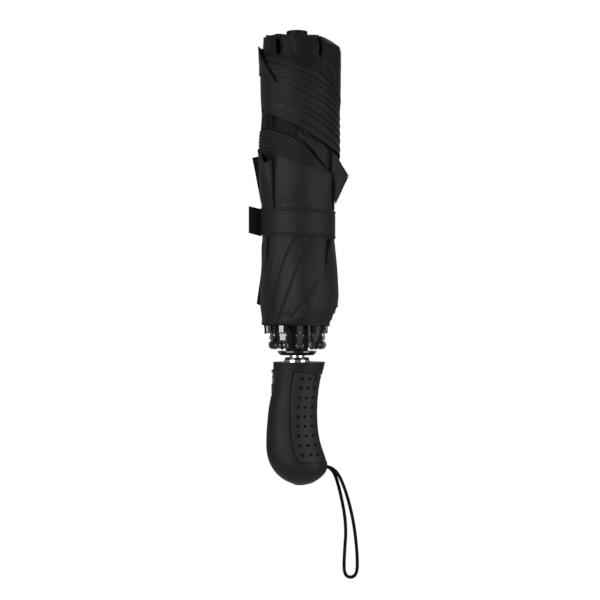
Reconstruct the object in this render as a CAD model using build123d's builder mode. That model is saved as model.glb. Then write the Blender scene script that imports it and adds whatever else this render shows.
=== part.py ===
from build123d import *
from math import atan2, cos, degrees, radians, sin, sqrt, tan
import os

os.makedirs("parts", exist_ok=True)

# Folding umbrella, closed and strapped. Millimetres, +Z up along the shaft.
# The origin is on the shaft axis at the middle of the grip; -Y is the front.

# ---- driving dimensions ------------------------------------------------------
RIB_COUNT = 10
FIRST_RIB_AZIMUTH = -84.0

HANDLE_TOP = 44.0
HANDLE_WALL = 3.8
PAD_DEPTH = 1.8
PAD_RECESS = 0.3
DIMPLE_R = 1.15
DIMPLE_FLOOR = 1.2
DIMPLE_TOP_ROW = 32.4
DIMPLE_PITCH = 6.78
DIMPLE_ROWS = 9
DIMPLE_ANGLES = (15.5, 36.5, 57.5, 78.5)

INNER_TUBE_R = 3.9
MIDDLE_TUBE_R = 4.7
OUTER_TUBE_R = 5.5
TUBE_WALL = 0.6
INNER_TUBE_Z = (-30.0, 250.0)
MIDDLE_TUBE_Z = (10.0, 256.0)
OUTER_TUBE_Z = (12.0, 272.0)
SHAFT_BORE_R = 5.8

CROWN_R = 11.0
CROWN_Z = (258.0, 272.0)
CAP_R = 7.6
CAP_Z = (278.6, 282.0)

RUNNER_R = 8.0
RUNNER_Z = (52.0, 85.0)
RUNNER_FLANGE_R = 11.0
RUNNER_FLANGE_Z = (68.0, 82.0)
CUP_Z = (49.0, 52.0)
CUP_R = (12.2, 14.0)

CROWN_PIVOT = (8.5, 266.0)
RUNNER_PIVOT = (9.5, 75.0)
ELBOW_PIVOT = (17.8, 56.4)
KNEE_PIVOT = (19.1, 261.0)
MAIN_RIB_FOOT = (16.2, 54.6)
JOINT_HEIGHT = 170.5
PIN_R = 0.6
PIN_HOLE_R = 0.7
STRETCHER_OFFSET = 3.0

MAIN_RIB = (1.2, 1.3, 0.5)
MAIN_RIB_FOOT_HALF_WIDTH = 2.1
KNUCKLE_R = 3.2
MAIN_RIB_FOOT_TOP = 100.0
MID_RIB = (2.2, 1.0, 0.5)
STRETCHER = (0.8, 1.2)
OUTER_RIB = (1.8, 0.7)
OUTER_RIB_TIP = (21.6, 65.5)
TIP_R = 1.0

CANOPY_HEM = 69.5
CANOPY_TOP = 278.3
CAVITY_R = 23.0
WAIST_Z = (131.0, 158.0)
WAIST = (25.0, 26.9, 25.5)
STRAP_Z = (134.2, 153.7)
STRAP_GAP = 0.3
STRAP_THICK = 0.8

CORD_R = 1.2
CORD_LANE = 1.7
CORD_EXIT_Z = -31.0

# One section per row: height, reach to -X, reach to +X, half depth in Y.
HANDLE_SECTIONS = (
    (44.0, 17.1, 20.2, 15.8),
    (38.0, 17.2, 18.8, 15.2),
    (30.0, 17.4, 16.9, 14.6),
    (22.0, 18.3, 15.7, 14.2),
    (13.0, 20.0, 15.0, 14.0),
    (0.0, 21.5, 15.1, 14.2),
    (-14.0, 22.2, 17.2, 15.5),
    (-25.0, 21.0, 20.8, 17.0),
    (-32.0, 18.0, 21.9, 17.2),
    (-38.0, 13.0, 18.4, 14.8),
    (-42.0, 7.0, 13.0, 9.8),
    (-44.4, 1.6, 6.0, 4.2),
)
LOWER_CANOPY = (
    (CANOPY_HEM, 25.9, 26.6, 25.9),
    (90.0, 26.4, 29.0, 26.4),
    (110.0, 26.2, 28.6, 26.4),
    (WAIST_Z[0], *WAIST),
)
UPPER_CANOPY = (
    (WAIST_Z[1], *WAIST),
    (172.0, 26.8, 30.0, 27.0),
    (205.0, 27.0, 31.2, 27.8),
    (245.0, 27.2, 32.0, 28.4),
    (264.0, 27.2, 32.0, 28.2),
    (273.0, 25.8, 28.6, 26.0),
    (CANOPY_TOP, 20.0, 17.0, 17.0),
)

AZIMUTHS = [FIRST_RIB_AZIMUTH + 360.0 * k / RIB_COUNT for k in range(RIB_COUNT)]


# ---- helpers -----------------------------------------------------------------
def radial_plane(azimuth, offset=0.0):
    """Upright plane through the shaft: local x is the radius, local y the height."""
    turn = radians(azimuth)
    out = Vector(cos(turn), sin(turn), 0)
    side = Vector(sin(turn), -cos(turn), 0)
    return Plane(origin=side * offset, x_dir=out, z_dir=side)


def bar_corners(top, foot, inner, outer):
    """Corners of a straight bar between two points, given its inner and outer reach."""
    run = Vector(foot[0] - top[0], foot[1] - top[1]).normalized()
    out = Vector(-run.Y, run.X)
    head = Vector(*top)
    tail = Vector(*foot)
    return [head - out * inner, head + out * outer, tail + out * outer, tail - out * inner]


def oval_body(sections, inset=0.0):
    """Smooth body through a stack of off-centre ellipses."""
    with BuildPart() as body:
        for height, left, right, depth in sections:
            with BuildSketch(Plane.XY.offset(height)):
                with Locations(((right - left) / 2, 0)):
                    Ellipse((left + right) / 2 - inset, depth - inset)
        loft()
    return body.part


def dimple_place(height, angle, side):
    """Where a dimple starts inside the grip: angle is from the front or the back towards +X."""
    below = max(section for section in HANDLE_SECTIONS if section[0] <= height)
    above = min(section for section in HANDLE_SECTIONS if section[0] > height)
    share = (height - below[0]) / (above[0] - below[0])
    left, right, depth = [low + (high - low) * share for low, high in zip(below[1:], above[1:])]
    across = sin(radians(angle))
    out = cos(radians(angle))
    half = (left + right) / 2 - DIMPLE_FLOOR
    reach = 1 / sqrt((across / half) ** 2 + (out / (depth - DIMPLE_FLOOR)) ** 2)
    start = ((right - left) / 2 + reach * across, side * reach * out, height)
    return Plane(origin=start, z_dir=(across, side * out, 0)).location


def tube(radius, span, wall=TUBE_WALL):
    """Plain round tube along the shaft axis."""
    with BuildPart() as pipe:
        with BuildSketch(Plane.XY.offset(span[0])):
            Circle(radius)
            Circle(radius - wall, mode=Mode.SUBTRACT)
        extrude(amount=span[1] - span[0])
    return pipe.part


# ---- handle ------------------------------------------------------------------
handle_form = oval_body(HANDLE_SECTIONS)
pad_floor = oval_body(HANDLE_SECTIONS, PAD_DEPTH)
pad_skin = oval_body(HANDLE_SECTIONS, PAD_RECESS)
inner_form = oval_body(HANDLE_SECTIONS[:-2], HANDLE_WALL)

with BuildPart() as pad_region:
    with BuildSketch(Plane.XZ):
        with BuildLine():
            left_edge = Spline((-2.4, 38.2), (-5.0, 23.0), (-5.3, 6.0), (-4.0, -13.0), (1.0, -27.5))
            Polyline(left_edge @ 1, (30.0, -27.5), (30.0, 32.8), left_edge @ 0)
        make_face()
    extrude(amount=25, both=True)

# The pad stops 0.6 mm short of its pocket all round, which leaves a narrow seam.
with BuildPart() as pad_outline:
    with BuildSketch(Plane.XZ):
        with BuildLine():
            pad_edge = Spline((-1.7, 37.5), (-4.4, 23.0), (-4.7, 6.0), (-3.4, -13.0), (1.3, -26.9))
            Polyline(pad_edge @ 1, (30.0, -26.9), (30.0, 32.2), pad_edge @ 0)
        make_face()
    extrude(amount=25, both=True)

with BuildPart() as pad_pocket:
    add(handle_form)
    add(pad_region.part, mode=Mode.INTERSECT)
    add(pad_floor, mode=Mode.SUBTRACT)

dimples = [
    dimple_place(DIMPLE_TOP_ROW - DIMPLE_PITCH * row, angle, side)
    for row in range(DIMPLE_ROWS)
    for angle in DIMPLE_ANGLES
    for side in (-1, 1)
]
with BuildPart() as grip_pad:
    add(pad_skin)
    add(pad_outline.part, mode=Mode.INTERSECT)
    add(pad_floor, mode=Mode.SUBTRACT)
    with Locations(dimples):
        Cylinder(DIMPLE_R, 4, align=(Align.CENTER, Align.CENTER, Align.MIN), mode=Mode.SUBTRACT)

with BuildPart() as cavity:
    add(inner_form)
    with Locations((0, 0, 2.5)):
        Box(60, 60, 77, mode=Mode.INTERSECT)
    with Locations((0, 0, -14)):
        Cylinder(8.0, 44, mode=Mode.SUBTRACT)

with BuildPart() as handle_body:
    add(handle_form)
    add(pad_pocket.part, mode=Mode.SUBTRACT)
    add(cavity.part, mode=Mode.SUBTRACT)
    with Locations((0, 0, (INNER_TUBE_Z[0] + 10) / 2)):
        Cylinder(INNER_TUBE_R, 10 - INNER_TUBE_Z[0], mode=Mode.SUBTRACT)
    with Locations((0, 0, HANDLE_TOP)):
        Cylinder(SHAFT_BORE_R, 10, mode=Mode.SUBTRACT)
    with Locations((0, 0, -10)):
        Cylinder(1.0, 15, rotation=(90, 0, 0), mode=Mode.SUBTRACT)
    with BuildSketch(Plane.YZ.offset(-26)):
        with Locations((0, 29.4)):
            RectangleRounded(11.6, 19.5, 4.0)
    extrude(amount=16, mode=Mode.SUBTRACT)
    with BuildSketch(Plane.YZ.offset(16.5)):
        with Locations((0, CORD_EXIT_Z)):
            RectangleRounded(6.4, 3.2, 1.5)
    extrude(amount=9, mode=Mode.SUBTRACT)

with BuildPart() as handle_front_shell:
    add(handle_body.part)
    split(bisect_by=Plane.XZ, keep=Keep.TOP)

with BuildPart() as handle_rear_shell:
    add(handle_body.part)
    split(bisect_by=Plane.XZ, keep=Keep.BOTTOM)

# Push button with its bright thumb plate; the latch plate slides with it.
with BuildPart() as button:
    with BuildSketch(Plane.YZ.offset(-18.4)):
        with Locations((0, 29.4)):
            RectangleRounded(11.0, 18.9, 3.7)
    extrude(amount=8.0)
    fillet(button.edges().group_by(Axis.X)[0], 0.8)
    with BuildSketch(Plane.YZ.offset(-10.4)):
        with Locations((0, 29.4)):
            RectangleRounded(13.0, 21.0, 4.0)
    extrude(amount=1.0)
    with BuildSketch(Plane.YZ.offset(-18.4)):
        with Locations((0, 34.0)):
            Rectangle(12.0, 11.0)
    extrude(amount=1.4, mode=Mode.SUBTRACT)

with BuildPart() as button_plate:
    with BuildSketch(Plane.YZ.offset(-18.3)):
        with Locations((0, 29.4)):
            RectangleRounded(11.0, 18.9, 3.7)
        with Locations((0, 34.1)):
            Rectangle(12.0, 11.0, mode=Mode.INTERSECT)
    extrude(amount=1.3)
    fillet(button_plate.edges().group_by(Axis.X)[0], 0.5)

with BuildPart() as latch_plate:
    with BuildSketch(Plane.XY.offset(27.0)):
        with Locations((-4.0, 0)):
            Rectangle(10.8, 14.0)
        with Locations((1.4, 0)):
            Circle(7.0)
        with Locations((-1.25, 0)):
            SlotCenterToCenter(2.5, 2 * SHAFT_BORE_R, mode=Mode.SUBTRACT)
    extrude(amount=2.0)

with BuildPart() as shaft_pin:
    with Locations((0, 0, -10)):
        Cylinder(1.0, 15, rotation=(90, 0, 0))

with BuildPart() as shaft_collar:
    with BuildSketch(Plane.XY.offset(HANDLE_TOP)):
        Circle(8.8)
        Circle(SHAFT_BORE_R, mode=Mode.SUBTRACT)
    extrude(amount=3.4)
    fillet(shaft_collar.edges().group_by(Axis.Z)[-1].sort_by(SortBy.RADIUS)[-1], 1.0)

with BuildPart() as collar_band:
    with BuildSketch(Plane.XY.offset(HANDLE_TOP)):
        Circle(9.3)
        Circle(8.8, mode=Mode.SUBTRACT)
    extrude(amount=1.5)

# ---- telescoping shaft -------------------------------------------------------
with BuildPart() as inner_tube:
    add(tube(INNER_TUBE_R, INNER_TUBE_Z))
    with Locations((0, 0, -10)):
        Cylinder(1.0, 15, rotation=(90, 0, 0), mode=Mode.SUBTRACT)

with BuildPart() as middle_tube:
    add(tube(MIDDLE_TUBE_R, MIDDLE_TUBE_Z))

with BuildPart() as outer_tube:
    add(tube(OUTER_TUBE_R, OUTER_TUBE_Z))

with BuildPart() as crown:
    add(tube(CROWN_R, CROWN_Z, CROWN_R - OUTER_TUBE_R))
    for azimuth in AZIMUTHS:
        with BuildSketch(radial_plane(azimuth)):
            with Locations((10.8, 262.6)):
                Rectangle(8.0, 11.2)
        extrude(amount=1.4, both=True, mode=Mode.SUBTRACT)
    for azimuth in AZIMUTHS:
        with BuildSketch(radial_plane(azimuth)):
            with Locations(CROWN_PIVOT):
                Circle(PIN_R)
        extrude(amount=1.6, both=True)

with BuildPart() as top_cap:
    with BuildSketch(Plane.XY.offset(262.0)):
        Circle(OUTER_TUBE_R - TUBE_WALL)
    extrude(amount=CAP_Z[0] - 262.0)
    with BuildSketch(Plane.XY.offset(CAP_Z[0])):
        Circle(CAP_R)
    extrude(amount=CAP_Z[1] - CAP_Z[0])
    fillet(top_cap.edges().group_by(Axis.Z)[-1], 0.8)

# ---- runner ------------------------------------------------------------------
with BuildPart() as runner:
    add(tube(RUNNER_R, RUNNER_Z, RUNNER_R - SHAFT_BORE_R))
    add(tube(RUNNER_FLANGE_R, RUNNER_FLANGE_Z, RUNNER_FLANGE_R - SHAFT_BORE_R))
    for azimuth in AZIMUTHS:
        with BuildSketch(radial_plane(azimuth, STRETCHER_OFFSET)):
            with Locations((11.8, 78.6)):
                Rectangle(8.0, 10.8)
        extrude(amount=1.0, both=True, mode=Mode.SUBTRACT)
    for azimuth in AZIMUTHS:
        with BuildSketch(radial_plane(azimuth, STRETCHER_OFFSET)):
            with Locations(RUNNER_PIVOT):
                Circle(PIN_R)
        extrude(amount=1.2, both=True)

with BuildPart() as runner_cup:
    with BuildSketch(Plane.XZ):
        with BuildLine():
            Polyline(
                (SHAFT_BORE_R, CUP_Z[0]),
                (CUP_R[0], CUP_Z[0]),
                (CUP_R[1], CUP_Z[0] + 2.0),
                (CUP_R[1], CUP_Z[1]),
                (SHAFT_BORE_R, CUP_Z[1]),
                close=True,
            )
        make_face()
    revolve(axis=Axis.Z)


# ---- frame: main rib, stretcher, middle rib and outer rib of each panel ------
def on_main_rib(height):
    """Point on the main rib's centre line at a height, as radius and height."""
    share = (CROWN_PIVOT[1] - height) / (CROWN_PIVOT[1] - MAIN_RIB_FOOT[1])
    return (CROWN_PIVOT[0] + share * (MAIN_RIB_FOOT[0] - CROWN_PIVOT[0]), height)


def main_rib(azimuth):
    half_width, half_depth, wall = MAIN_RIB
    plane = radial_plane(azimuth)
    foot_start = on_main_rib(MAIN_RIB_FOOT_TOP)
    above = on_main_rib(CROWN_PIVOT[1] + 5)
    below = on_main_rib(MAIN_RIB_FOOT[1] - 5)
    with BuildPart() as rib:
        with BuildSketch(plane):
            with BuildLine():
                Polyline(*bar_corners(CROWN_PIVOT, MAIN_RIB_FOOT, half_depth, half_depth), close=True)
            make_face()
            with Locations(CROWN_PIVOT):
                Circle(half_depth)
        extrude(amount=half_width, both=True)
        with BuildSketch(plane):
            with BuildLine():
                Polyline(*bar_corners(foot_start, MAIN_RIB_FOOT, half_depth, half_depth), close=True)
            make_face()
            with Locations((ELBOW_PIVOT[0] - 1.3, ELBOW_PIVOT[1])):
                Rectangle(2.6, 3.6)
            with Locations(ELBOW_PIVOT):
                Circle(KNUCKLE_R)
        extrude(amount=MAIN_RIB_FOOT_HALF_WIDTH, both=True)
        with BuildSketch(plane):
            with BuildLine():
                Polyline(*bar_corners(above, below, half_depth - 0.6, 8.0), close=True)
            make_face()
        extrude(amount=half_width - wall, both=True, mode=Mode.SUBTRACT)
        with BuildSketch(plane):
            with BuildLine():
                Polyline(*bar_corners(foot_start, below, half_depth - 0.6, 8.0), close=True)
            make_face()
        extrude(amount=MAIN_RIB_FOOT_HALF_WIDTH - wall, both=True, mode=Mode.SUBTRACT)
        with BuildSketch(plane):
            with Locations(CROWN_PIVOT, ELBOW_PIVOT):
                Circle(PIN_HOLE_R)
        extrude(amount=3, both=True, mode=Mode.SUBTRACT)
    return rib.part


def stretcher(azimuth):
    half_width, half_depth = STRETCHER
    joint = on_main_rib(JOINT_HEIGHT)
    plane = radial_plane(azimuth, STRETCHER_OFFSET)
    with BuildPart() as bar:
        with BuildSketch(plane):
            with BuildLine():
                Polyline(*bar_corners(joint, RUNNER_PIVOT, half_depth, half_depth), close=True)
            make_face()
            with Locations(joint, RUNNER_PIVOT):
                Circle(half_depth)
            with Locations(joint, RUNNER_PIVOT):
                Circle(PIN_HOLE_R, mode=Mode.SUBTRACT)
        extrude(amount=half_width, both=True)
    return bar.part


def middle_rib(azimuth):
    half_width, half_depth, wall = MID_RIB
    plane = radial_plane(azimuth)
    foot = (19.2, 60.0)
    head = (KNEE_PIVOT[0] - 1.5, KNEE_PIVOT[1] + 1.6)
    with BuildPart() as rib:
        with BuildSketch(plane):
            with BuildLine():
                Polyline(*bar_corners(head, foot, half_depth, half_depth), close=True)
            make_face()
            with Locations((KNEE_PIVOT[0] - 1.2, KNEE_PIVOT[1])):
                Rectangle(2.4, 3.2)
            with Locations(KNEE_PIVOT):
                Circle(1.6)
        extrude(amount=half_width, both=True)
        with BuildSketch(plane):
            with BuildLine():
                Polyline(*bar_corners((head[0], 266.0), (19.2, 66.5), half_depth - 0.5, 6.0), close=True)
            make_face()
        extrude(amount=half_width - wall, both=True, mode=Mode.SUBTRACT)
        with BuildSketch(plane):
            with Locations(KNEE_PIVOT):
                Circle(PIN_HOLE_R)
        extrude(amount=3, both=True, mode=Mode.SUBTRACT)
        with BuildSketch(plane):
            with BuildLine():
                Polyline(*bar_corners((19.2, 62.4), ELBOW_PIVOT, 0.9, 0.9), close=True)
            make_face()
            with Locations(ELBOW_PIVOT):
                Circle(1.4)
        extrude(amount=1.2, both=True)
        with BuildSketch(plane):
            with Locations(ELBOW_PIVOT):
                Circle(PIN_R)
        extrude(amount=MAIN_RIB_FOOT_HALF_WIDTH + 0.4, both=True)
        for side in (-1, 1):
            with BuildSketch(radial_plane(azimuth, side * (MAIN_RIB_FOOT_HALF_WIDTH + 0.1))):
                with Locations(ELBOW_PIVOT):
                    Circle(1.2)
            extrude(amount=side * 0.5)
            with BuildSketch(radial_plane(azimuth, side * half_width)):
                with Locations((19.2, 63.6)):
                    Circle(0.85)
            extrude(amount=side * 0.5)
    return rib.part


def outer_rib(azimuth):
    half_width, half_depth = OUTER_RIB
    plane = radial_plane(azimuth)
    head = (KNEE_PIVOT[0] + 1.8, KNEE_PIVOT[1] - 4.4)
    with BuildPart() as rib:
        with BuildSketch(plane):
            with BuildLine():
                Polyline(*bar_corners(head, OUTER_RIB_TIP, half_depth, half_depth), close=True)
            make_face()
        extrude(amount=half_width, both=True)
        with BuildSketch(plane):
            with BuildLine():
                Polyline(*bar_corners(KNEE_PIVOT, (head[0], head[1] - 0.6), 0.7, 0.7), close=True)
            make_face()
            with Locations(KNEE_PIVOT):
                Circle(1.2)
        extrude(amount=1.2, both=True)
        with BuildSketch(plane):
            with Locations(KNEE_PIVOT):
                Circle(PIN_R)
        extrude(amount=MID_RIB[0] + 0.4, both=True)
        for side in (-1, 1):
            with BuildSketch(radial_plane(azimuth, side * (MID_RIB[0] + 0.1))):
                with Locations(KNEE_PIVOT):
                    Circle(1.0)
            extrude(amount=side * 0.4)
        with Locations(radial_plane(azimuth).from_local_coords(Vector(*OUTER_RIB_TIP))):
            Sphere(TIP_R)
    return rib.part


# ---- cloth -------------------------------------------------------------------
with BuildPart() as canopy:
    add(oval_body(LOWER_CANOPY))
    with BuildSketch(Plane.XY.offset(WAIST_Z[0])):
        with Locations(((WAIST[1] - WAIST[0]) / 2, 0)):
            Ellipse((WAIST[0] + WAIST[1]) / 2, WAIST[2])
    extrude(amount=WAIST_Z[1] - WAIST_Z[0])
    add(oval_body(UPPER_CANOPY))
    with BuildSketch(Plane.XZ):
        with BuildLine():
            Polyline(
                (0, CANOPY_HEM - 1),
                (CAVITY_R, CANOPY_HEM - 1),
                (CAVITY_R, 265.5),
                (12.5, 273.5),
                (5.2, 273.5),
                (5.2, CANOPY_TOP + 1),
                (0, CANOPY_TOP + 1),
                close=True,
            )
        make_face()
    revolve(axis=Axis.Z, mode=Mode.SUBTRACT)

with BuildPart() as strap:
    with BuildSketch(Plane.XY.offset(STRAP_Z[0])):
        with Locations(((WAIST[1] - WAIST[0]) / 2, 0)):
            strap_x = (WAIST[0] + WAIST[1]) / 2 + STRAP_GAP
            strap_y = WAIST[2] + STRAP_GAP
            Ellipse(strap_x + STRAP_THICK, strap_y + STRAP_THICK)
            Ellipse(strap_x, strap_y, mode=Mode.SUBTRACT)
    extrude(amount=STRAP_Z[1] - STRAP_Z[0])

with BuildPart() as strap_tab:
    with BuildSketch(Plane.XY.offset(STRAP_Z[0])):
        with Locations((-30.8, -3.0)):
            RectangleRounded(8.2, 0.8, 0.3)
    extrude(amount=STRAP_Z[1] - STRAP_Z[0])

# ---- wrist loop --------------------------------------------------------------
CORD_POINTS = (
    Vector(18.8, -CORD_LANE, CORD_EXIT_Z),
    Vector(26.0, -CORD_LANE, CORD_EXIT_Z),
    Vector(33.4, -1.3, -43.0),
    Vector(40.4, -0.6, -68.0),
    Vector(43.5, 0.0, -94.0),
    Vector(43.3, 0.2, -111.0),
    Vector(33.8, 0.4, -111.0),
    Vector(34.0, 0.7, -95.0),
    Vector(35.7, 1.0, -74.0),
    Vector(31.2, 1.4, -49.0),
    Vector(25.4, CORD_LANE, CORD_EXIT_Z),
    Vector(18.8, CORD_LANE, CORD_EXIT_Z),
)


def corner_radii(points):
    """Largest comfortable bend radius at every inner corner of a cord."""
    radii = []
    for before, corner, after in zip(points, points[1:], points[2:]):
        arrive = corner - before
        leave = after - corner
        turn = radians(arrive.get_angle(leave))
        radii.append(0.45 * min(arrive.length, leave.length) / tan(turn / 2))
    return radii


with BuildPart() as wrist_cord:
    with BuildLine() as cord_path:
        FilletPolyline(*CORD_POINTS, radius=corner_radii(CORD_POINTS))
    with BuildSketch(Plane(origin=cord_path.wire() @ 0, z_dir=cord_path.wire() % 0)):
        Circle(CORD_R)
    sweep(path=cord_path.wire())

print("cord bend radii", [round(r, 1) for r in corner_radii(CORD_POINTS)])
print("cord length", round(cord_path.wire().length, 1))
print("cord volume ratio", wrist_cord.part.volume / (cord_path.wire().length * 3.14159265 * CORD_R**2))

# ---- export ------------------------------------------------------------------
pieces = {
    "handle_front_shell": handle_front_shell.part,
    "handle_rear_shell": handle_rear_shell.part,
    "grip_pad": grip_pad.part,
    "button": button.part,
    "button_plate": button_plate.part,
    "latch_plate": latch_plate.part,
    "shaft_pin": shaft_pin.part,
    "shaft_collar": shaft_collar.part,
    "collar_band": collar_band.part,
    "inner_tube": inner_tube.part,
    "middle_tube": middle_tube.part,
    "outer_tube": outer_tube.part,
    "crown": crown.part,
    "top_cap": top_cap.part,
    "runner": runner.part,
    "runner_cup": runner_cup.part,
    "canopy": canopy.part,
    "strap": strap.part,
    "strap_tab": strap_tab.part,
    "wrist_cord": wrist_cord.part,
}
for index, azimuth in enumerate(AZIMUTHS, start=1):
    pieces[f"main_rib_{index}"] = main_rib(azimuth)
    pieces[f"stretcher_{index}"] = stretcher(azimuth)
    pieces[f"middle_rib_{index}"] = middle_rib(azimuth)
    pieces[f"outer_rib_{index}"] = outer_rib(azimuth)

for name, piece in pieces.items():
    piece.label = name
    export_step(piece, f"parts/{name}.step")
    print(name, round(piece.volume, 1), len(piece.solids()), piece.is_valid)
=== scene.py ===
import math

import bpy
import numpy as np
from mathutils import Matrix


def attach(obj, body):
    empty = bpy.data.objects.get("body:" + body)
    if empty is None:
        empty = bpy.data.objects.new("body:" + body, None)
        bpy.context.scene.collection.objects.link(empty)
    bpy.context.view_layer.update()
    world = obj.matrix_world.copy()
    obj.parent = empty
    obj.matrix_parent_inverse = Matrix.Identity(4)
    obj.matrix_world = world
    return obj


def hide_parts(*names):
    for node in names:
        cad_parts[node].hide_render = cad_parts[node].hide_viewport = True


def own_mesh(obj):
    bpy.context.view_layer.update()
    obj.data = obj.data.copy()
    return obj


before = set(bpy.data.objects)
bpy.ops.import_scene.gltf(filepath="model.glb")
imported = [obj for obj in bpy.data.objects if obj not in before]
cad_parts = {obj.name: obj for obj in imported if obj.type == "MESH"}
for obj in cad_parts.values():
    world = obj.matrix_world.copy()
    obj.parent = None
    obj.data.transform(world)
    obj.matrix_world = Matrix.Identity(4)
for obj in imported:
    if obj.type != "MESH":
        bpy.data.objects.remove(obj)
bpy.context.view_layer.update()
MM = 0.001
scene = bpy.context.scene
scene.view_settings.view_transform = "Standard"

# ---- camera -------------------------------------------------------------------
# The camera looks level along +y, from CAMERA_AWAY in front of the shaft; millimetres.
CAMERA_X, CAMERA_Z, CAMERA_AWAY = 2.16, 88.56, 1200.0
camera_data = bpy.data.cameras.new("camera")
camera_data.lens = 100
camera_data.sensor_width = 36
camera_data.clip_start = 0.01
camera = bpy.data.objects.new("camera", camera_data)
camera.location = (CAMERA_X * MM, -CAMERA_AWAY * MM, CAMERA_Z * MM)
camera.rotation_euler = (math.radians(90), 0, 0)
scene.collection.objects.link(camera)
scene.camera = camera


# ---- small helpers ------------------------------------------------------------
def add_mesh(name, vertices, faces, uvs):
    """Smooth-shaded mesh object from coordinates and UVs in millimetres."""
    mesh = bpy.data.meshes.new(name)
    mesh.from_pydata([tuple(v) for v in np.asarray(vertices) * MM], [], faces)
    mesh.shade_smooth()
    layer = mesh.uv_layers.new(name="UVMap")
    index = np.zeros(len(mesh.loops), dtype=np.int32)
    mesh.loops.foreach_get("vertex_index", index)
    layer.data.foreach_set("uv", (np.asarray(uvs) * MM)[index].astype(np.float32).ravel())
    obj = bpy.data.objects.new(name, mesh)
    scene.collection.objects.link(obj)
    return obj


def grid_faces(rows, cols):
    """Quads of a grid whose vertices are numbered row by row."""
    faces = []
    for i in range(rows - 1):
        for j in range(cols - 1):
            a = i * cols + j
            faces.append((a, a + 1, a + 1 + cols, a + cols))
    return faces


def smooth(edge0, edge1, x):
    """0 below edge0, 1 above edge1, and a smooth step between."""
    t = np.clip((np.asarray(x, float) - edge0) / (edge1 - edge0), 0, 1)
    return t * t * (3 - 2 * t)


# ---- materials ----------------------------------------------------------------
class Nodes:
    """Thin wrapper that keeps shader building short."""

    def __init__(self, name):
        self.mat = bpy.data.materials.new(name)
        self.mat.use_nodes = True
        self.tree = self.mat.node_tree
        self.bsdf = self.tree.nodes["Principled BSDF"]

    def new(self, kind, **settings):
        node = self.tree.nodes.new(kind)
        for key, value in settings.items():
            setattr(node, key, value)
        return node

    def link(self, a, b):
        self.tree.links.new(a, b)

    def math(self, operation, a, b=None, c=None):
        node = self.new("ShaderNodeMath", operation=operation)
        for slot, value in enumerate((a, b, c)):
            if value is None:
                continue
            if isinstance(value, (int, float)):
                node.inputs[slot].default_value = value
            else:
                self.link(value, node.inputs[slot])
        return node.outputs[0]

    def base(self, color, rough, metallic=0.0, specular=0.5, sheen=0.0, coat=0.0):
        values = {
            "Base Color": (*color, 1),
            "Roughness": rough,
            "Metallic": metallic,
            "Specular IOR Level": specular,
            "Sheen Weight": sheen,
            "Sheen Roughness": 0.45,
            "Coat Weight": coat,
            "Coat Roughness": 0.08,
        }
        for key, value in values.items():
            self.bsdf.inputs[key].default_value = value
        return self

    def bump(self, height, strength, distance, under=None):
        node = self.new("ShaderNodeBump")
        node.inputs["Strength"].default_value = strength
        node.inputs["Distance"].default_value = distance
        self.link(height, node.inputs["Height"])
        if under is not None:
            self.link(under, node.inputs["Normal"])
        return node.outputs["Normal"]


def grained(name, color, rough, scale=900, strength=0.15, distance=0.0002, **more):
    """Moulded or plated surface: fine grain in the bump and a little change in gloss."""
    n = Nodes(name).base(color, rough, **more)
    coords = n.new("ShaderNodeTexCoord").outputs["Object"]
    noise = n.new("ShaderNodeTexNoise")
    noise.inputs["Scale"].default_value = scale
    noise.inputs["Detail"].default_value = 3
    n.link(coords, noise.inputs["Vector"])
    broad = n.new("ShaderNodeTexNoise")
    broad.inputs["Scale"].default_value = 60
    n.link(coords, broad.inputs["Vector"])
    n.link(n.bump(noise.outputs["Fac"], strength, distance), n.bsdf.inputs["Normal"])
    vary = n.math("MULTIPLY_ADD", broad.outputs["Fac"], 0.16, rough - 0.08)
    n.link(vary, n.bsdf.inputs["Roughness"])
    return n.mat


# Cloth in metres: pitch of the weave, pitch and half width of a stitch line, and the height and colour of the
# painted shade along each hem's lower edge.
WEAVE_PITCH = 0.00042
STITCH_PITCH = 0.0026
STITCH_HALF_WIDTH = 0.00022
HEM_SHADE_HEIGHT = 0.0005
HEM_SHADE_COLOR = (0.0004, 0.0004, 0.0004, 1)
CLOTH_ROUGH = 0.5
THREAD_BRIGHTER = 1.9


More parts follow.
